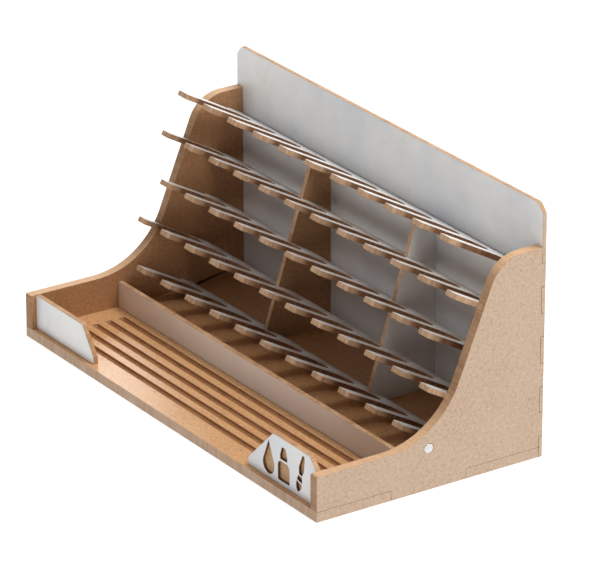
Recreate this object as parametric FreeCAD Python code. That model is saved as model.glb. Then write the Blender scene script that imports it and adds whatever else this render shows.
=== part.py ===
import FreeCAD, Part
import os, math

# Tabletop paint rack: a cut-board rack with a grooved front tray, five stepped
# slotted shelves that cradle dropper bottles, two internal dividers and a tall
# back board.  Millimetres.  X is the width, +Y points to the back, +Z up.
# Origin: middle of the footprint, on the resting plane.

# ---------------------------------------------------------------- dimensions
WIDTH = 300.0            # overall width
DEPTH = 150.0            # overall depth
HEIGHT = 150.0           # top of the back board
BOARD = 6.0              # side panels and base
SHEET = 3.0              # shelves, dividers, tray wall, fascias
BACK = 2.5               # back board

LIP_H = 27.0             # height of the side panels along the tray
SIDE_H = 125.0           # height of the side panels at the back
KNEE_Y = 79.6            # where the sloped front edge would meet the lip
SWEEP_R = 51.0           # radius of the sweep at that knee
CROWN_Y = 119.6          # where the sloped front edge would meet the top
CROWN_R = 22.0           # radius of the top front corner
NOSE_R = 1.2             # small radius of the lip's front corner

TAB_Y0, TAB_Y1 = 49.0, 98.6      # side panel tab that reaches the table
BACK_TAB_Z = (19.8, 49.5, 79.2, 108.9)   # centres of the tabs into the back board
BACK_TAB_H = 14.0

CHAMFER = 5.0            # clipped top corners of the back board

PITCH = 26.0             # bottle pitch
FINGER = 9.8             # width of a shelf finger
SLOT = PITCH - FINGER
SLOT_LEN = 37.0          # length of a bottle slot
TOP_REACH = 4.5          # the top shelf's fingers reach this much further out
SHELF_LEN = 50.0         # finger tip to rear edge, along the shelf
TILT = 29.0              # shelves fall towards the back by this many degrees
TIP_R = 1.6              # rounded finger tips
TIER_STEP_Y = 8.5        # each shelf sits this much further forward ...
TIER_STEP_Z = 25.2       # ... and this much lower than the one above
TOP_TIP_Y = 103.4        # tip edge of the top shelf (from the front)
TOP_TIP_Z = 133.2
LAST_LEN = 48.8          # the lowest shelf is trimmed so that it clears the base
HOUSING = 4.5            # depth of the shelf housings in the side panels

DIV_X = (96.2, 200.2)    # centre planes of the dividers (from the left)
DIV_FOOT_Y = 100.4       # front edge of a divider at the base
DIV_SLOPE = 0.3237       # run over rise of that front edge
LAP = 0.5                # share of the lap joint cut out of each piece

GROOVE_Y = (16.0, 25.1, 34.2, 43.3, 52.4)    # brush grooves in the tray floor
GROOVE_W = 4.3
GROOVE_D = 1.5
GROOVE_R = 0.9           # corner radius of the groove ends
GROOVE_END = 20.0        # distance of the groove ends from the rack ends

TRAY_WALL_Y = 59.5
TRAY_WALL_TOP = 22.0

FASCIA_Y = 3.5           # set-back of the fascias from the front edge

MAGNET_D = 6.0
MAGNET_T = 3.0
MAGNET_Y, MAGNET_Z = 73.4, 24.7

X0, Y0 = -WIDTH / 2.0, -DEPTH / 2.0      # rack-corner coordinates to the frame
V = FreeCAD.Vector


def place(shape):
    """Shift from corner coordinates (x from the left, y from the front)."""
    s = shape.copy()
    s.translate(V(X0, Y0, 0))
    return s


def box(x0, x1, y0, y1, z0, z1):
    return Part.makeBox(x1 - x0, y1 - y0, z1 - z0, V(x0, y0, z0))


def prism_x(wire_pts, x0, x1):
    """Extrude a closed (y, z) polygon along X."""
    pts = [V(x0, y, z) for y, z in wire_pts]
    w = Part.makePolygon(pts + [pts[0]])
    return Part.Face(w).extrude(V(x1 - x0, 0, 0))


def arc3(a, b, c):
    return Part.Arc(a, b, c).toShape()


def line(a, b):
    return Part.LineSegment(a, b).toShape()


def rounded(pts, radii, to3d, direction):
    """Extruded polygon with a radius per corner.  pts are 2-D."""
    n = len(pts)
    segs, ends = [], []
    for i in range(n):
        p0, p1, p2 = pts[i - 1], pts[i], pts[(i + 1) % n]
        r = radii[i]
        if r <= 0:
            ends.append((p1, p1, None))
            continue
        a = (p0[0] - p1[0], p0[1] - p1[1])
        b = (p2[0] - p1[0], p2[1] - p1[1])
        la, lb = math.hypot(*a), math.hypot(*b)
        a = (a[0] / la, a[1] / la)
        b = (b[0] / lb, b[1] / lb)
        ang = math.acos(max(-1.0, min(1.0, a[0] * b[0] + a[1] * b[1])))
        t = r / math.tan(ang / 2.0)
        q0 = (p1[0] + a[0] * t, p1[1] + a[1] * t)
        q1 = (p1[0] + b[0] * t, p1[1] + b[1] * t)
        m = (a[0] + b[0], a[1] + b[1])
        lm = math.hypot(*m)
        d = r / math.sin(ang / 2.0)
        c = (p1[0] + m[0] / lm * d, p1[1] + m[1] / lm * d)
        mid = (c[0] - m[0] / lm * r, c[1] - m[1] / lm * r)
        ends.append((q0, q1, mid))
    for i in range(n):
        q0, q1, mid = ends[i]
        if mid is not None:
            segs.append(arc3(to3d(*q0), to3d(*mid), to3d(*q1)))
        nxt = ends[(i + 1) % n][0]
        if math.hypot(nxt[0] - q1[0], nxt[1] - q1[1]) > 1e-6:
            segs.append(line(to3d(*q1), to3d(*nxt)))
    w = Part.Wire(Part.__sortEdges__(segs))
    return Part.Face(w).extrude(direction)


# ------------------------------------------------------------- side panels
def side_profile(x0, x1):
    """Side panel above the base: a low lip, a sweep, a sloped front edge and a rounded crown."""
    yb = DEPTH - BACK
    pts = [(0, BOARD), (yb, BOARD), (yb, SIDE_H), (CROWN_Y, SIDE_H), (KNEE_Y, LIP_H), (0, LIP_H)]
    rad = [0, 0, 0, CROWN_R, SWEEP_R, NOSE_R]
    return rounded(pts, rad, lambda a, b: V(x0, a, b), V(x1 - x0, 0, 0))


def side_panel(x0, x1):
    s = side_profile(x0, x1)
    s = s.fuse(box(x0, x1, TAB_Y0, TAB_Y1, 0, BOARD))
    for zc in BACK_TAB_Z:
        s = s.fuse(box(x0, x1, DEPTH - BACK, DEPTH, zc - BACK_TAB_H / 2, zc + BACK_TAB_H / 2))
    return s.removeSplitter()


LEFT_RAW = side_profile(0.0, BOARD)
RIGHT_RAW = side_profile(WIDTH - BOARD, WIDTH)


# ------------------------------------------------------------------ shelves
TH = math.radians(TILT)


def tip_of(k):
    """(y, z) of the upper tip edge of shelf k, 0 at the top."""
    return TOP_TIP_Y - k * TIER_STEP_Y, TOP_TIP_Z - k * TIER_STEP_Z


def tilt_place(shape, k):
    y, z = tip_of(k)
    s = shape.copy()
    s.rotate(V(0, 0, 0), V(1, 0, 0), -TILT)
    s.translate(V(0, y, z))
    return s


def shelf_length(k):
    return LAST_LEN if k == 4 else SHELF_LEN


def shelf_plate(k):
    """Flat shelf in its own plane: x across, y from the tips to the back, top at z=0."""
    if k % 2 == 1:        # shelves 2 and 4: last finger against the right panel
        right = WIDTH - BOARD
    else:                 # shelves 1, 3 and 5: staggered by half a pitch
        right = WIDTH - BOARD - PITCH / 2.0
    body = box(BOARD, WIDTH - BOARD, SLOT_LEN, shelf_length(k), -SHEET, 0)
    solids = [body]
    i = 0
    fingers = []
    while True:
        xr = right - PITCH * i
        xl = max(xr - FINGER, 0.0)
        if xr <= 3.0:
            break
        fingers.append((xl, xr))
        i += 1
    out = -TOP_REACH if k == 0 else 0.0
    for xl, xr in fingers:
        f = rounded([(xl, out), (xr, out), (xr, SLOT_LEN + 1), (xl, SLOT_LEN + 1)],
                    [TIP_R, TIP_R, 0, 0], lambda a, b: V(a, b, -SHEET), V(0, 0, SHEET))
        solids.append(f)
    s = solids[0]
    for f in solids[1:]:
        s = s.fuse(f)
    # round the inner ends of the slots
    r = SLOT / 2.0
    fingers.sort()
    for (al, ar), (bl, br) in zip(fingers[:-1], fingers[1:]):
        cx = (ar + bl) / 2.0
        fill = box(ar - 0.5, bl + 0.5, SLOT_LEN - r, SLOT_LEN + 0.5, -SHEET, 0)
        hole = Part.makeCylinder((bl - ar) / 2.0, SHEET + 2, V(cx, SLOT_LEN - r, -SHEET - 1))
        front = box(ar, bl, SLOT_LEN - r - 5, SLOT_LEN - r, -SHEET - 1, 1)
        s = s.fuse(fill.cut(hole).cut(front))
    # ends beyond the last fingers: a quarter-round root towards the panel
    first, last = fingers[0], fingers[-1]
    if first[0] > BOARD + 1.0:
        w = first[0] - BOARD
        rr = min(w, 4.0)
        fill = box(BOARD, first[0] + 0.5, SLOT_LEN - rr, SLOT_LEN + 0.5, -SHEET, 0)
        hole = Part.makeCylinder(rr, SHEET + 2, V(first[0] - rr, SLOT_LEN - rr, -SHEET - 1))
        cutl = box(BOARD, first[0] - rr, SLOT_LEN - rr - 1, SLOT_LEN, -SHEET - 1, 1)
        s = s.fuse(fill.cut(hole).cut(cutl))
    gap_r = WIDTH - BOARD - last[1]
    if gap_r > 1.0:
        rr = min(gap_r, 8.0)
        fill = box(last[1] - 0.5, WIDTH - BOARD, SLOT_LEN - rr, SLOT_LEN + 0.5, -SHEET, 0)
        hole = Part.makeCylinder(rr, SHEET + 2, V(last[1] + rr, SLOT_LEN - rr, -SHEET - 1))
        cutr = box(last[1] + rr, WIDTH - BOARD, SLOT_LEN - rr - 1, SLOT_LEN, -SHEET - 1, 1)
        s = s.fuse(fill.cut(hole).cut(cutr))
    return s


def divider_front_y(z):
    return DIV_FOOT_Y + (z - BOARD) * DIV_SLOPE


def divider_outline(x0, x1):
    """Divider plate between the base and the underside of the top shelf."""
    yb = DEPTH - BACK
    ty, tz = tip_of(0)
    # underside plane of the top shelf: z = tz - SHEET/cos - tan*(y-ty)
    zu = lambda y: tz - SHEET / math.cos(TH) - math.tan(TH) * (y - ty)
    y = 130.0
    for _ in range(50):
        y = divider_front_y(zu(y))
    return [(divider_front_y(BOARD), BOARD), (y, zu(y)), (yb, zu(yb)), (yb, BOARD)]


def lap_s():
    """Distance from the tip, along the shelf, where the divider front edge crosses, per shelf."""
    out = []
    for k in range(5):
        ty, tz = tip_of(k)
        s = 40.0
        for _ in range(60):
            z = tz - s * math.sin(TH)
            s = (divider_front_y(z) - ty) / math.cos(TH)
        out.append(s)
    return out


LAPS = lap_s()

shelves = []
housings_l, housings_r = [], []
for k in range(5):
    flat = shelf_plate(k)
    # cross-lap: the shelf is notched from its rear edge, the divider from its front
    if k > 0:
        s_cross = LAPS[k]
        s_mid = s_cross + (shelf_length(k) - s_cross) * LAP
        for dx in DIV_X:
            flat = flat.cut(box(dx - SHEET / 2, dx + SHEET / 2, s_mid, SHELF_LEN + 1, -SHEET - 1, 1))
    plate = tilt_place(flat, k)
    plate = plate.cut(LEFT_RAW).cut(RIGHT_RAW)
    # tongues that run in blind housings of the side panels: on shelves 2 and 4
    # they start flush with the panels' front edge, on the others behind the slots
    s0 = 0.0 if k % 2 == 1 else SLOT_LEN
    strip_l = tilt_place(box(BOARD - HOUSING, BOARD, s0, shelf_length(k), -SHEET, 0), k)
    strip_r = tilt_place(box(WIDTH - BOARD, WIDTH - BOARD + HOUSING, s0, shelf_length(k), -SHEET, 0), k)
    tl = strip_l.common(LEFT_RAW)
    tr = strip_r.common(RIGHT_RAW)
    housings_l.append(tl)
    housings_r.append(tr)
    plate = plate.fuse([tl, tr]).removeSplitter()
    shelves.append(plate)

# -------------------------------------------------------------- side panels
left = side_panel(0.0, BOARD)
right = side_panel(WIDTH - BOARD, WIDTH)
for t in housings_l:
    left = left.cut(t)
for t in housings_r:
    right = right.cut(t)

mag_l = Part.makeCylinder(MAGNET_D / 2, MAGNET_T, V(0, MAGNET_Y, MAGNET_Z), V(1, 0, 0))
mag_r = Part.makeCylinder(MAGNET_D / 2, MAGNET_T, V(WIDTH - MAGNET_T, MAGNET_Y, MAGNET_Z), V(1, 0, 0))
left = left.cut(mag_l)
right = right.cut(mag_r)
left = left.removeSplitter()
right = right.removeSplitter()


def ease(m, axis_len=0.25):
    """Slightly eased rim of the magnet disc."""
    edges = [e for e in m.Edges if hasattr(e.Curve, "Radius")]
    return m.makeChamfer(axis_len, edges)


mag_l = ease(mag_l)
mag_r = ease(mag_r)

# --------------------------------------------------------------- base plate
base = box(0, WIDTH, 0, DEPTH - BACK, 0, BOARD)
base = base.cut(box(-1, BOARD, TAB_Y0, TAB_Y1, -1, BOARD + 1))
base = base.cut(box(WIDTH - BOARD, WIDTH + 1, TAB_Y0, TAB_Y1, -1, BOARD + 1))
BASE_TAB_X = (60.0, 150.0, 240.0)
BASE_TAB_W = 24.0
for xc in BASE_TAB_X:
    base = base.fuse(box(xc - BASE_TAB_W / 2, xc + BASE_TAB_W / 2, DEPTH - BACK, DEPTH, 0, BOARD))
for gy in GROOVE_Y:
    g = rounded([(GROOVE_END, gy - GROOVE_W / 2), (WIDTH - GROOVE_END, gy - GROOVE_W / 2),
                 (WIDTH - GROOVE_END, gy + GROOVE_W / 2), (GROOVE_END, gy + GROOVE_W / 2)], [GROOVE_R] * 4,
                lambda a, b: V(a, b, BOARD - GROOVE_D), V(0, 0, GROOVE_D + 1))
    base = base.cut(g)
base = base.removeSplitter()

# --------------------------------------------------------------- back board
yb = DEPTH - BACK


def back_outline(y0, y1):
    pts = [(0, 0), (WIDTH, 0), (WIDTH, HEIGHT - CHAMFER), (WIDTH - CHAMFER, HEIGHT), (CHAMFER, HEIGHT), (0, HEIGHT - CHAMFER)]
    return rounded(pts, [0, 0, 1.5, 1.5, 1.5, 1.5], lambda a, b: V(a, y0, b), V(0, y1 - y0, 0))


back_cuts = []
for zc in BACK_TAB_Z:
    for xa, xb in ((-1, BOARD), (WIDTH - BOARD, WIDTH + 1)):
        back_cuts.append(box(xa, xb, yb - 1, DEPTH + 1, zc - BACK_TAB_H / 2, zc + BACK_TAB_H / 2))
for xc in BASE_TAB_X:
    back_cuts.append(box(xc - BASE_TAB_W / 2, xc + BASE_TAB_W / 2, yb - 1, DEPTH + 1, -1, BOARD))
DIV_TAB_Z = ((26.0, 40.0), (70.0, 84.0))
for dx in DIV_X:
    for z0, z1 in DIV_TAB_Z:
        back_cuts.append(box(dx - SHEET / 2, dx + SHEET / 2, yb - 1, DEPTH + 1, z0, z1))
back = back_outline(yb, DEPTH)
for c in back_cuts:
    back = back.cut(c)
back = back.removeSplitter()

# ----------------------------------------------------------------- dividers
dividers = []
for n, dx in enumerate(DIV_X):
    x0, x1 = dx - SHEET / 2, dx + SHEET / 2
    d = prism_x(divider_outline(x0, x1), x0, x1)
    for z0, z1 in DIV_TAB_Z:
        d = d.fuse(box(x0, x1, yb, DEPTH, z0, z1))
    for k in range(1, 5):
        s_mid = LAPS[k] + (shelf_length(k) - LAPS[k]) * LAP
        d = d.cut(tilt_place(box(x0 - 1, x1 + 1, 20, s_mid, -SHEET, 0), k))
    d = d.removeSplitter()
    dividers.append(d)

# ---------------------------------------------------------- tray rear wall
wall = box(BOARD, WIDTH - BOARD, TRAY_WALL_Y, TRAY_WALL_Y + SHEET, BOARD, TRAY_WALL_TOP)

# ------------------------------------------------------------------ fascias
fl_pts = [(BOARD, BOARD), (68.6, BOARD), (68.3, 10.4), (56.6, 26.8), (BOARD, 26.8)]
fl_rad = [0, 0, 0.8, 1.2, 0]
fr_pts = [(228.5, BOARD), (WIDTH - BOARD, BOARD), (WIDTH - BOARD, 27.2), (288.0, 33.6), (253.0, 34.0), (228.5, 10.4)]
fr_rad = [0, 0, 1.0, 2.0, 2.5, 1.0]


def fascia(pts, rad, y0, y1):
    return rounded(pts, rad, lambda a, b: V(a, y0, b), V(0, y1 - y0, 0))


def drop(cx, cz, r, top, y0, y1):
    """Paint drop: a round belly drawn up to a point."""
    h = top - cz
    a = math.acos(r / h)
    t = (r * math.sin(a), r * math.cos(a))
    w = Part.Wire([
        arc3(V(cx - t[0], y0, cz + t[1]), V(cx, y0, cz - r), V(cx + t[0], y0, cz + t[1])),
        line(V(cx + t[0], y0, cz + t[1]), V(cx, y0, top)),
        line(V(cx, y0, top), V(cx - t[0], y0, cz + t[1])),
    ])
    return Part.Face(w).extrude(V(0, y1 - y0, 0))


def bottle(cx, z0, y0, y1):
    """Dropper bottle outline, with the band of its label left standing."""
    pts = [(cx - 5.6, z0), (cx + 5.6, z0), (cx + 5.6, z0 + 9.6), (cx + 3.4, z0 + 12.0), (cx + 3.4, z0 + 15.6),
           (cx + 1.7, z0 + 20.4), (cx - 1.7, z0 + 20.4), (cx - 3.4, z0 + 15.6), (cx - 3.4, z0 + 12.0), (cx - 5.6, z0 + 9.6)]
    rad = [1.0, 1.0, 1.0, 0.4, 0.4, 0.8, 0.8, 0.4, 0.4, 1.0]
    b = rounded(pts, rad, lambda a, c: V(a, y0, c), V(0, y1 - y0, 0))
    return b.cut(box(cx - 7, cx + 7, y0 - 1, y1 + 1, z0 + 11.6, z0 + 12.9))


def brush(cx, z0, y0, y1):
    """Slanted paint brush: tapered handle, ferrule and pointed hair."""
    handle = rounded([(-1.5, 9.8), (1.5, 9.8), (2.5, 14.0), (1.1, 22.4), (-1.1, 22.4), (-2.5, 14.0)],
                     [0.2, 0.2, 1.5, 0.8, 0.8, 1.5], lambda a, c: V(a, y0, c), V(0, y1 - y0, 0))
    ferrule = rounded([(-2.5, 5.6), (2.5, 5.6), (1.8, 8.9), (-1.8, 8.9)], [0.2] * 4,
                      lambda a, c: V(a, y0, c), V(0, y1 - y0, 0))
    w = Part.Wire([
        arc3(V(-2.4, y0, 4.7), V(-2.4, y0, 2.2), V(0, y0, -1.2)),
        arc3(V(0, y0, -1.2), V(2.4, y0, 2.2), V(2.4, y0, 4.7)),
        line(V(2.4, y0, 4.7), V(-2.4, y0, 4.7)),
    ])
    hair = Part.Face(w).extrude(V(0, y1 - y0, 0))
    s = Part.makeCompound([handle, ferrule, hair])
    s.rotate(V(0, y0, 10.0), V(0, 1, 0), 14.0)
    s.translate(V(cx, 0, z0))
    return s


fy0, fy1 = FASCIA_Y, FASCIA_Y + SHEET
fascia_left = fascia(fl_pts, fl_rad, fy0, fy1)
fascia_right = fascia(fr_pts, fr_rad, fy0, fy1)
MOTIF_DEPTH = 1.6
motif = [drop(248.6, 14.0, 5.6, 28.6, fy0 - 1, fy0 + MOTIF_DEPTH),
         bottle(263.2, 8.6, fy0 - 1, fy0 + MOTIF_DEPTH),
         brush(279.4, 9.4, fy0 - 1, fy0 + MOTIF_DEPTH)]
for m in motif:
    fascia_right = fascia_right.cut(m)

# ------------------------------------------------------------------- export
nodes = [
    ("base_plate", base),
    ("side_panel_left", left),
    ("side_panel_right", right),
    ("back_panel", back),
    ("shelf_1", shelves[0]),
    ("shelf_2", shelves[1]),
    ("shelf_3", shelves[2]),
    ("shelf_4", shelves[3]),
    ("shelf_5", shelves[4]),
    ("divider_left", dividers[0]),
    ("divider_right", dividers[1]),
    ("tray_rear_wall", wall),
    ("fascia_left", fascia_left),
    ("fascia_right", fascia_right),
    ("magnet_left", mag_l),
    ("magnet_right", mag_r),
]
os.makedirs("parts", exist_ok=True)
for name, shape in nodes:
    s = place(shape)
    sol = s.Solids
    if len(sol) == 1:
        s = sol[0]
    else:
        s = Part.makeCompound(sol)
    print(name, "solids", len(sol), "valid", s.isValid(), "vol %.1f" % s.Volume,
          "box %.2f %.2f %.2f %.2f %.2f %.2f" % (s.BoundBox.XMin, s.BoundBox.XMax, s.BoundBox.YMin, s.BoundBox.YMax, s.BoundBox.ZMin, s.BoundBox.ZMax))
    s.exportStep(os.path.join("parts", name + ".step"))
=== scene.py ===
import bpy, bmesh, math
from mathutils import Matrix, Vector


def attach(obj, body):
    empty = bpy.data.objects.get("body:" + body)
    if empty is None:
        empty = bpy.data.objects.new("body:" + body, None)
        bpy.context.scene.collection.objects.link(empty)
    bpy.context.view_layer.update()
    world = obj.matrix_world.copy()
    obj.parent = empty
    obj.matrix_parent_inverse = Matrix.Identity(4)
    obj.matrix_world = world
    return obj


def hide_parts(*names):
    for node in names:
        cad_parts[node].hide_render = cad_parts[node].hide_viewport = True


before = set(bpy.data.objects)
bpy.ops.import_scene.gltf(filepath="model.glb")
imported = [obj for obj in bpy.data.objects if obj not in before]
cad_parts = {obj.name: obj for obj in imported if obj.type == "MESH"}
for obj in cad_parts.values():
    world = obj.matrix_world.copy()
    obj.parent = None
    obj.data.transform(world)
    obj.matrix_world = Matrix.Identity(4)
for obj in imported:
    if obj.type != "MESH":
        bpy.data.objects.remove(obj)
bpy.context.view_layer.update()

scene = bpy.context.scene

# ------------------------------------------------------------------ camera
cam_data = bpy.data.cameras.new("camera")
cam = bpy.data.objects.new("camera", cam_data)
scene.collection.objects.link(cam)
cam_data.lens = 290.81
cam_data.sensor_width = 36.0
cam_data.clip_start = 0.05
cam_data.clip_end = 60.0
cam.location = (2.07724, -1.38836, 1.13850)
look = Vector((-0.00014, 0.01572, 0.05821)) - Vector(cam.location)
cam.rotation_mode = "QUATERNION"
cam.rotation_quaternion = look.to_track_quat("-Z", "Y")
scene.camera = cam


# --------------------------------------------------------------- materials
def lin(c):
    """sRGB 0-255 to linear."""
    out = []
    for v in c:
        v = v / 255.0
        out.append(v / 12.92 if v <= 0.04045 else ((v + 0.055) / 1.055) ** 2.4)
    return tuple(out) + (1.0,)


class Mat:
    """A small helper around one material's node tree."""

    def __init__(self, name):
        self.m = bpy.data.materials.new(name)
        self.m.use_nodes = True
        self.t = self.m.node_tree
        self.t.nodes.clear()
        self.out = self.t.nodes.new("ShaderNodeOutputMaterial")
        self.b = self.t.nodes.new("ShaderNodeBsdfPrincipled")
        self.t.links.new(self.b.outputs[0], self.out.inputs[0])
        tc = self.t.nodes.new("ShaderNodeTexCoord")
        self.p = tc.outputs["Object"]

    def link(self, a, b):
        self.t.links.new(a, b)

    def set(self, **kw):
        for k, v in kw.items():
            self.b.inputs[k.replace("_", " ")].default_value = v

    def stretch(self, axis, keep):
        """Coordinates squeezed along axis, so that noise runs in streaks along it."""
        a = Vector(axis).normalized()
        d = self.t.nodes.new("ShaderNodeVectorMath"); d.operation = "DOT_PRODUCT"
        self.link(self.p, d.inputs[0]); d.inputs[1].default_value = a
        s = self.t.nodes.new("ShaderNodeVectorMath"); s.operation = "SCALE"
        s.inputs[0].default_value = a * (1.0 - keep)
        self.link(d.outputs["Value"], s.inputs["Scale"])
        r = self.t.nodes.new("ShaderNodeVectorMath"); r.operation = "SUBTRACT"
        self.link(self.p, r.inputs[0]); self.link(s.outputs[0], r.inputs[1])
        return r.outputs[0]

    def offset(self, vec, by):
        n = self.t.nodes.new("ShaderNodeVectorMath"); n.operation = "ADD"
        self.link(vec, n.inputs[0]); n.inputs[1].default_value = by
        return n.outputs[0]

    def noise(self, scale, detail=3.0, rough=0.55, vec=None, dist=0.0):
        n = self.t.nodes.new("ShaderNodeTexNoise")
        n.inputs["Scale"].default_value = scale
        n.inputs["Detail"].default_value = detail
        n.inputs["Roughness"].default_value = rough
        n.inputs["Distortion"].default_value = dist
        self.link(vec if vec is not None else self.p, n.inputs["Vector"])
        return n.outputs["Fac"]

    def voronoi(self, scale, vec=None, feature="F1", rand=1.0):
        n = self.t.nodes.new("ShaderNodeTexVoronoi")
        n.feature = feature
        n.inputs["Scale"].default_value = scale
        n.inputs["Randomness"].default_value = rand
        self.link(vec if vec is not None else self.p, n.inputs["Vector"])
        return n.outputs["Distance"]

    def remap(self, v, a, b, c=0.0, d=1.0, smooth=True):
        n = self.t.nodes.new("ShaderNodeMapRange")
        n.interpolation_type = "SMOOTHSTEP" if smooth else "LINEAR"
        n.inputs["From Min"].default_value = a
        n.inputs["From Max"].default_value = b
        n.inputs["To Min"].default_value = c
        n.inputs["To Max"].default_value = d
        self.link(v, n.inputs["Value"])
        return n.outputs["Result"]

    def math(self, op, a, b=None):
        n = self.t.nodes.new("ShaderNodeMath"); n.operation = op
        for i, v in enumerate((a, b)):
            if v is None:
                continue
            if isinstance(v, (int, float)):
                n.inputs[i].default_value = v
            else:
                self.link(v, n.inputs[i])
        return n.outputs[0]

    def mix(self, fac, a, b, mode="MIX"):
        n = self.t.nodes.new("ShaderNodeMix"); n.data_type = "RGBA"; n.blend_type = mode
        for i, v in ((0, fac), (6, a), (7, b)):
            if isinstance(v, (int, float)):
                n.inputs[i].default_value = v
            elif isinstance(v, tuple):
                n.inputs[i].default_value = v
            else:
                self.link(v, n.inputs[i])
        return n.outputs[2]

    def bump(self, h, dist, strength=1.0, prev=None):
        n = self.t.nodes.new("ShaderNodeBump")
        n.inputs["Strength"].default_value = strength
        n.inputs["Distance"].default_value = dist
        self.link(h, n.inputs["Height"])
        if prev is not None:
            self.link(prev, n.inputs["Normal"])
        return n.outputs[0]

    def finish(self, color, rough=None, normal=None):
        if color is not None:
            self.link(color, self.b.inputs["Base Color"])
        if rough is not None:
            self.link(rough, self.b.inputs["Roughness"])
        if normal is not None:
            self.link(normal, self.b.inputs["Normal"])
        return self.m


def mdf_face(name, base, dark, light, warm, fleck=0.55, rough=(0.52, 0.66), spec=0.32):
    """Sanded fibreboard: mottled ground, fine dark and pale fibre flecks, a slight sheen."""
    k = Mat(name)
    k.set(Specular_IOR_Level=spec, IOR=1.45)
    cloud = k.noise(26.0, 4.0, 0.6)
    mott = k.noise(480.0, 4.0, 0.68)
    fine = k.noise(1900.0, 3.0, 0.65)
    fib_a = k.noise(980.0, 2.0, 0.55, k.stretch((0.3, 1.0, 0.45), 0.5))
    fib_b = k.noise(1050.0, 2.0, 0.55, k.offset(k.stretch((1.0, -0.4, 0.7), 0.5), (3.1, 1.7, 5.3)))
    c = k.mix(k.remap(cloud, 0.35, 0.68), lin(base), lin(warm))
    c = k.mix(k.remap(mott, 0.30, 0.72, 0.0, 0.85), c, lin(light))
    c = k.mix(k.math("MULTIPLY", k.remap(fib_a, 0.56, 0.72), fleck), c, lin(dark))
    c = k.mix(k.math("MULTIPLY", k.remap(fib_b, 0.58, 0.74), fleck * 0.8), c, lin(dark))
    c = k.mix(k.math("MULTIPLY", k.remap(fine, 0.60, 0.75), 0.35), c, lin(light))
    h = k.math("ADD", mott, k.math("MULTIPLY", fine, 0.5))
    r = k.remap(mott, 0.3, 0.7, rough[0], rough[1])
    return k.finish(c, r, k.bump(h, 0.00006, 0.35))


def cut_edge(name, base, dark, light, axis, streak=2200.0, lit_top_colour=None):
    """Laser-cut edge of fibreboard: toasted, with fine streaks across the board's thickness."""
    k = Mat(name)
    k.set(Specular_IOR_Level=0.28)
    st = k.stretch(axis, 0.06)
    s1 = k.noise(streak, 2.0, 0.6, st)
    s2 = k.noise(streak * 0.27, 3.0, 0.6, st)
    cloud = k.noise(60.0, 3.0, 0.6)
    fine = k.noise(2400.0, 2.0, 0.5)
    c = k.mix(k.remap(s2, 0.3, 0.7), lin(dark), lin(base))
    c = k.mix(k.math("MULTIPLY", k.remap(cloud, 0.4, 0.7), 0.5), c, lin(light))
    c = k.mix(k.math("MULTIPLY", k.remap(s1, 0.55, 0.75), 0.45), c, lin(dark))
    c = k.mix(k.math("MULTIPLY", k.remap(fine, 0.58, 0.74), 0.25), c, lin(light))
    if lit_top_colour is not None:
        # painted light: paler where the edge faces up, as if lit from above; the toasted colour stays where the edge
        # stands steep
        nx = k.t.nodes.new("ShaderNodeSeparateXYZ")
        tc = k.t.nodes.new("ShaderNodeTexCoord")
        k.link(tc.outputs["Normal"], nx.inputs[0])
        lit_top = k.mix(k.remap(s2, 0.3, 0.7), lin(tuple(v * 0.93 for v in lit_top_colour)), lin(lit_top_colour))
        c = k.mix(k.math("MULTIPLY", k.remap(nx.outputs[2], 0.45, 0.95), 0.9), c, lit_top)
    h = k.math("ADD", s1, k.math("MULTIPLY", fine, 0.4))
    return k.finish(c, k.remap(s2, 0.3, 0.7, 0.62, 0.78), k.bump(h, 0.00009, 0.5))


def laminate(name, base, cool, stain):
    """White melamine face: fine orange peel, faint cloudiness and smoke haze from the cut."""
    k = Mat(name)
    k.set(Specular_IOR_Level=0.5, Coat_Weight=0.12, Coat_Roughness=0.22)
    cloud = k.noise(14.0, 4.0, 0.6)
    peel = k.noise(1300.0, 2.0, 0.5)
    haze = k.noise(75.0, 4.0, 0.65, None, 0.6)
    speck = k.voronoi(420.0)
    c = k.mix(k.remap(cloud, 0.35, 0.7), lin(base), lin(cool))
    c = k.mix(k.math("MULTIPLY", k.remap(haze, 0.55, 0.8), 0.22), c, lin(stain))
    c = k.mix(k.math("MULTIPLY", k.remap(speck, 0.06, 0.02), 0.25), c, lin(stain))
    r = k.math("ADD", k.remap(haze, 0.3, 0.7, 0.27, 0.42), k.math("MULTIPLY", peel, 0.05))
    return k.finish(c, r, k.bump(peel, 0.00002, 0.3))


def nickel(name):
    k = Mat(name)
    k.set(Metallic=1.0)
    f = k.noise(700.0, 3.0, 0.6)
    g = k.noise(2600.0, 2.0, 0.6, k.stretch((0, 1, 0.2), 0.1))
    c = k.mix(k.remap(f, 0.35, 0.7), lin((214, 214, 215)), lin((200, 200, 202)))
    return k.finish(c, k.remap(g, 0.3, 0.7, 0.16, 0.3), k.bump(g, 0.00001, 0.3))


TILT = math.radians(29.0)
SHELF_N = Vector((0, math.sin(TILT), math.cos(TILT)))

MDF = mdf_face("board_face", (193, 166, 142), (158, 129, 105), (208, 184, 161), (186, 157, 132), 0.6)
TRAY = mdf_face("board_tray_face", (196, 147, 99), (146, 98, 56), (212, 168, 124), (188, 136, 88), 0.65, (0.34, 0.46), 0.5)
INNER = mdf_face("board_inner_face", (168, 124, 86), (126, 86, 54), (182, 140, 102), (158, 112, 74), 0.4)
HARD = mdf_face("thin_board_back", (168, 128, 92), (128, 92, 62), (182, 144, 108), (158, 118, 82), 0.4)
WHITE = laminate("white_laminate", (235, 234, 232), (218, 220, 224), (200, 186, 168))
# painted bounce light: a warm tint standing in for light reflected from the orange tray onto the rear wall
WHITE_TRAY_BOUNCE = laminate("white_laminate_painted_bounce", (234, 224, 215), (226, 216, 208), (200, 176, 152))
NICKEL = nickel("nickel")


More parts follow.
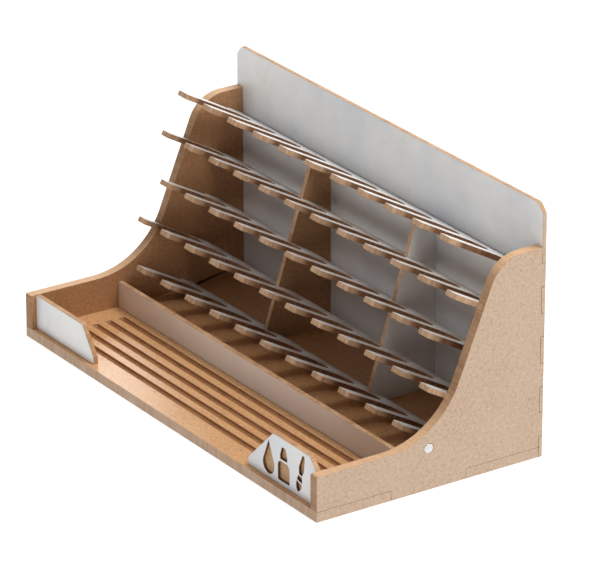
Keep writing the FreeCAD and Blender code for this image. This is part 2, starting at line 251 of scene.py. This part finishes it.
def edges_for(axis, tag, thick):
    if thick:
        return cut_edge("cut_edge_" + tag, (190, 152, 116), (166, 126, 90), (202, 168, 134), axis)
    return cut_edge("cut_edge_" + tag, (192, 154, 118), (160, 120, 84), (206, 172, 138), axis)


# the last colour is painted light on the up-facing edges of the side panels
EDGE_X = cut_edge("cut_edge_side", (172, 134, 100), (146, 108, 76), (188, 152, 118), (1, 0, 0), 2200.0, (216, 176, 138))
EDGE_Y = edges_for((0, 1, 0), "y_thin", False)
EDGE_XT = cut_edge("cut_edge_x_thin", (206, 170, 136), (180, 142, 108), (218, 186, 154), (1, 0, 0))
BASE_EDGE = cut_edge("cut_edge_base", (196, 166, 141), (178, 146, 119), (207, 181, 158), (0, 0, 1), 1500.0)
SEAM = cut_edge("joint_line", (92, 66, 46), (70, 48, 32), (112, 82, 58), (0, 0, 1))


def shelf_edge_slot_shade(k):
    """Edge of a comb shelf: pale at the finger tips, with painted shade getting darker into the slots; on shelves 2 and
    4 the last finger's open side is kept pale as painted light.
    """
    n = Mat("shelf_edge_painted_shade_%d" % (k + 1))
    n.set(Specular_IOR_Level=0.28)
    st = n.stretch(SHELF_N, 0.06)
    s1 = n.noise(2200.0, 2.0, 0.6, st)
    s2 = n.noise(600.0, 3.0, 0.6, st)
    cloud = n.noise(60.0, 3.0, 0.6)
    along = Vector((0.0, math.cos(TILT), -math.sin(TILT)))
    tip = Vector((0.0, 0.0284 - 0.0085 * k, 0.1332 - 0.0252 * k)).dot(along) - (0.0045 if k == 0 else 0.0)
    d = n.t.nodes.new("ShaderNodeVectorMath"); d.operation = "DOT_PRODUCT"
    n.link(n.p, d.inputs[0]); d.inputs[1].default_value = along
    s = n.math("ADD", n.math("SUBTRACT", d.outputs["Value"], tip), n.math("MULTIPLY", s2, 0.003))
    # painted shade: the edge darkens with distance behind the finger tip, into the shaded slots
    slot_shade = n.remap(s, 0.0065, 0.0135)
    sx = n.t.nodes.new("ShaderNodeSeparateXYZ")
    n.link(n.p, sx.inputs[0])
    # painted light: on shelves 2 and 4 the last finger keeps its pale tip colour all along its open, lit side
    if k % 2 == 1:
        slot_shade = n.math("MULTIPLY", slot_shade, n.remap(sx.outputs[0], 0.1336, 0.1341, 1.0, 0.0))
    pale = n.mix(n.remap(s2, 0.3, 0.7), lin((168, 132, 100)), lin((196, 162, 130)))
    pale = n.mix(n.math("MULTIPLY", n.remap(s1, 0.55, 0.75), 0.35), pale, lin((166, 126, 92)))
    # colour of the painted shade deep in the slots
    dark = n.mix(n.remap(s2, 0.3, 0.7), lin((104, 70, 44)), lin((132, 92, 60)))
    dark = n.mix(n.math("MULTIPLY", n.remap(s1, 0.5, 0.75), 0.5), dark, lin((76, 50, 30)))
    c = n.mix(n.math("MULTIPLY", slot_shade, n.remap(cloud, 0.2, 0.6, 0.8, 1.0)), pale, dark)
    h = n.math("ADD", s1, n.math("MULTIPLY", s2, 0.4))
    return n.finish(c, n.remap(s2, 0.3, 0.7, 0.62, 0.78), n.bump(h, 0.00009, 0.5))


# painted light: the groove walls are paler than the burnt groove floor, to offset the shade they sit in
GROOVE_WALL_LIT = cut_edge("groove_wall_painted_light", (204, 154, 108), (182, 132, 88), (216, 168, 122), (0, 0, 1), 1400.0)
BURNT = cut_edge("burnt_groove", (150, 101, 60), (126, 82, 46), (164, 114, 72), (0, 0, 1), 1400.0)
POCKET = mdf_face("engraved_floor", (196, 156, 116), (128, 88, 56), (208, 172, 132), (180, 138, 98), 0.6)
POCKET_WALL = cut_edge("engraved_wall", (120, 80, 48), (86, 54, 30), (150, 106, 68), (0, 1, 0), 2600.0)


# ------------------------------------------------------------------ pieces
def build(node, mats, classify, bevel=0.00014, segs=2, seam=None):
    """A finished copy of a board: welded, flat faces merged, real rounded arrises, a finish per face."""
    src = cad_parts[node].data
    bm = bmesh.new()
    bm.from_mesh(src)
    bmesh.ops.remove_doubles(bm, verts=bm.verts, dist=2e-6)
    bmesh.ops.dissolve_limit(bm, angle_limit=math.radians(0.6), verts=bm.verts, edges=bm.edges, use_dissolve_boundaries=False)
    bm.normal_update()
    for f in bm.faces:
        f.material_index = classify(f.normal, f.calc_center_median())
    edge_index = len(mats) - 1 - (1 if seam else 0)
    sharp = [e for e in bm.edges if len(e.link_faces) == 2 and e.calc_face_angle(0.0) > math.radians(34)]
    bmesh.ops.bevel(bm, geom=sharp, offset=bevel, offset_type="OFFSET", segments=segs, profile=0.5,
                    affect="EDGES", clamp_overlap=True, material=edge_index)
    for f in bm.faces:
        f.smooth = True
        if seam and max(abs(v) for v in f.normal) < 0.985 and seam(f.calc_center_median()):
            f.material_index = len(mats) - 1
    me = bpy.data.meshes.new(node + "_finished")
    bm.to_mesh(me)
    bm.free()
    for m in mats:
        me.materials.append(m)
    ob = bpy.data.objects.new(node + "_finished", me)
    scene.collection.objects.link(ob)
    wn = ob.modifiers.new("normals", "WEIGHTED_NORMAL")
    wn.keep_sharp = True
    wn.weight = 100
    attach(ob, "root")
    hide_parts(node)
    return ob


def faced(n):
    n = Vector(n)

    def c(normal, centre):
        d = normal.dot(n)
        return 0 if d > 0.9 else (1 if d < -0.9 else 2)
    return c


def plain(axis):
    a = Vector(axis)
    return lambda normal, centre: 0 if abs(normal.dot(a)) > 0.9 else 1


def base_faces(normal, centre):
    # 0 tray side, 1 underside and outer ends, 2 groove floors, 3 groove walls, 4 cut edges
    if normal.z < -0.9 or abs(centre.x) > 0.1495:
        return 1
    if normal.z > 0.9:
        return 0 if centre.z > 0.0055 else 2
    inside = abs(centre.x) < 0.1405 and -0.0735 < centre.y < -0.015 and centre.z > 0.0035
    return 3 if inside else 4


def back_faces(normal, centre):
    # 0 white face, 1 rear face and outer ends, 2 cut edges
    if normal.y < -0.9:
        return 0
    return 1 if normal.y > 0.9 or abs(centre.x) > 0.1495 else 2


def motif_faces(normal, centre):
    # 0 white face, 1 back, 2 pocket floors, 3 pocket walls, 4 cut edges
    if normal.y < -0.9:
        return 0 if centre.y < -0.0712 else 2
    if normal.y > 0.9:
        return 1
    inside = 0.0915 < centre.x < 0.1365 and 0.0068 < centre.z < 0.0300 and centre.y < -0.0697
    return 3 if inside else 4


build("base_plate", [TRAY, MDF, BURNT, GROOVE_WALL_LIT, BASE_EDGE, SEAM], base_faces, 0.00024, 2,
      lambda c: abs(c.x) > 0.1496 and c.z > 0.0008 and c.y > -0.0746)
def joint(c):
    return abs(c.x) > 0.1496 and (0.0008 < c.z < 0.0064 or (c.y > 0.0716 and c.z < 0.1240))


build("side_panel_left", [MDF, INNER, EDGE_X, SEAM], faced((-1, 0, 0)), 0.00024, 2, joint)
build("side_panel_right", [MDF, INNER, EDGE_X, SEAM], faced((1, 0, 0)), 0.00024, 2, joint)
build("back_panel", [WHITE, MDF, EDGE_Y, SEAM], back_faces, 0.00015, 2,
      lambda c: abs(c.x) > 0.1496 and c.y < 0.0744 and c.z < 0.1244)
for k in range(1, 6):
    build("shelf_%d" % k, [WHITE, HARD, shelf_edge_slot_shade(k - 1)], faced(SHELF_N), 0.00012)
build("divider_left", [WHITE, HARD, EDGE_XT], faced((-1, 0, 0)), 0.00012)
build("divider_right", [WHITE, HARD, EDGE_XT], faced((1, 0, 0)), 0.00012)
build("tray_rear_wall", [WHITE_TRAY_BOUNCE, HARD, EDGE_Y], faced((0, -1, 0)), 0.00015)
build("fascia_left", [WHITE, HARD, EDGE_Y], faced((0, -1, 0)), 0.00015)
build("fascia_right", [WHITE, HARD, POCKET, POCKET_WALL, EDGE_Y], motif_faces, 0.00008)
build("magnet_left", [NICKEL, NICKEL], plain((1, 0, 0)), 0.00006)
build("magnet_right", [NICKEL, NICKEL], plain((1, 0, 0)), 0.00006)

# ------------------------------------------------------------------- stage
me = bpy.data.meshes.new("floor")
S = 14.0
me.from_pydata([(-S, -S, 0), (S, -S, 0), (S, S, 0), (-S, S, 0)], [], [(0, 1, 2, 3)])
floor = bpy.data.objects.new("floor", me)
floor.location = (0, 0, -0.0001)
scene.collection.objects.link(floor)
fm = Mat("floor_paper")
fm.set(Roughness=0.75, Specular_IOR_Level=0.1)
g = fm.noise(3.0, 2.0)
fm.set(Emission_Color=(1, 1, 1, 1), Emission_Strength=0.86)
floor.data.materials.append(fm.finish(fm.mix(g, (0.33, 0.33, 0.33, 1), (0.35, 0.35, 0.35, 1))))

world = bpy.data.worlds.new("studio")
scene.world = world
world.use_nodes = True
# a bright band around the horizon under a dim ceiling
wt = world.node_tree
bg = wt.nodes["Background"]
bg.inputs[0].default_value = (1.0, 1.0, 1.0, 1)
wc = wt.nodes.new("ShaderNodeTexCoord")
ws = wt.nodes.new("ShaderNodeSeparateXYZ")
wr = wt.nodes.new("ShaderNodeMapRange")
wr.interpolation_type = "SMOOTHSTEP"
wr.inputs["From Min"].default_value = 0.10
wr.inputs["From Max"].default_value = 0.40
wr.inputs["To Min"].default_value = 0.87
wr.inputs["To Max"].default_value = 0.06
wt.links.new(wc.outputs["Generated"], ws.inputs[0])
wt.links.new(ws.outputs[2], wr.inputs["Value"])
wt.links.new(wr.outputs[0], bg.inputs[1])


def area(name, loc, target, size, power, color=(1, 1, 1)):
    d = bpy.data.lights.new(name, "AREA")
    d.shape = "RECTANGLE"
    d.size, d.size_y = size
    d.energy = power
    d.color = color
    o = bpy.data.objects.new(name, d)
    o.location = loc
    o.rotation_mode = "QUATERNION"
    o.rotation_quaternion = (Vector(target) - Vector(loc)).to_track_quat("-Z", "Y")
    scene.collection.objects.link(o)
    return o


area("key", (0.62, 0.50, 1.95), (0.0, 0.0, 0.05), (1.5, 1.5), 54.0, (1.0, 0.99, 0.975))
area("fill", (-0.75, -1.25, 1.9), (0.0, 0.0, 0.05), (1.4, 1.1), 4.0)
area("window", (-2.35, 1.60, 1.15), (-0.05, -0.04, 0.02), (1.5, 1.0), 34.0, (1.0, 0.995, 0.985))
scene.view_settings.view_transform = "Standard"
scene.view_settings.look = "None"
scene.view_settings.exposure = 0.0
scene.view_settings.gamma = 1.0
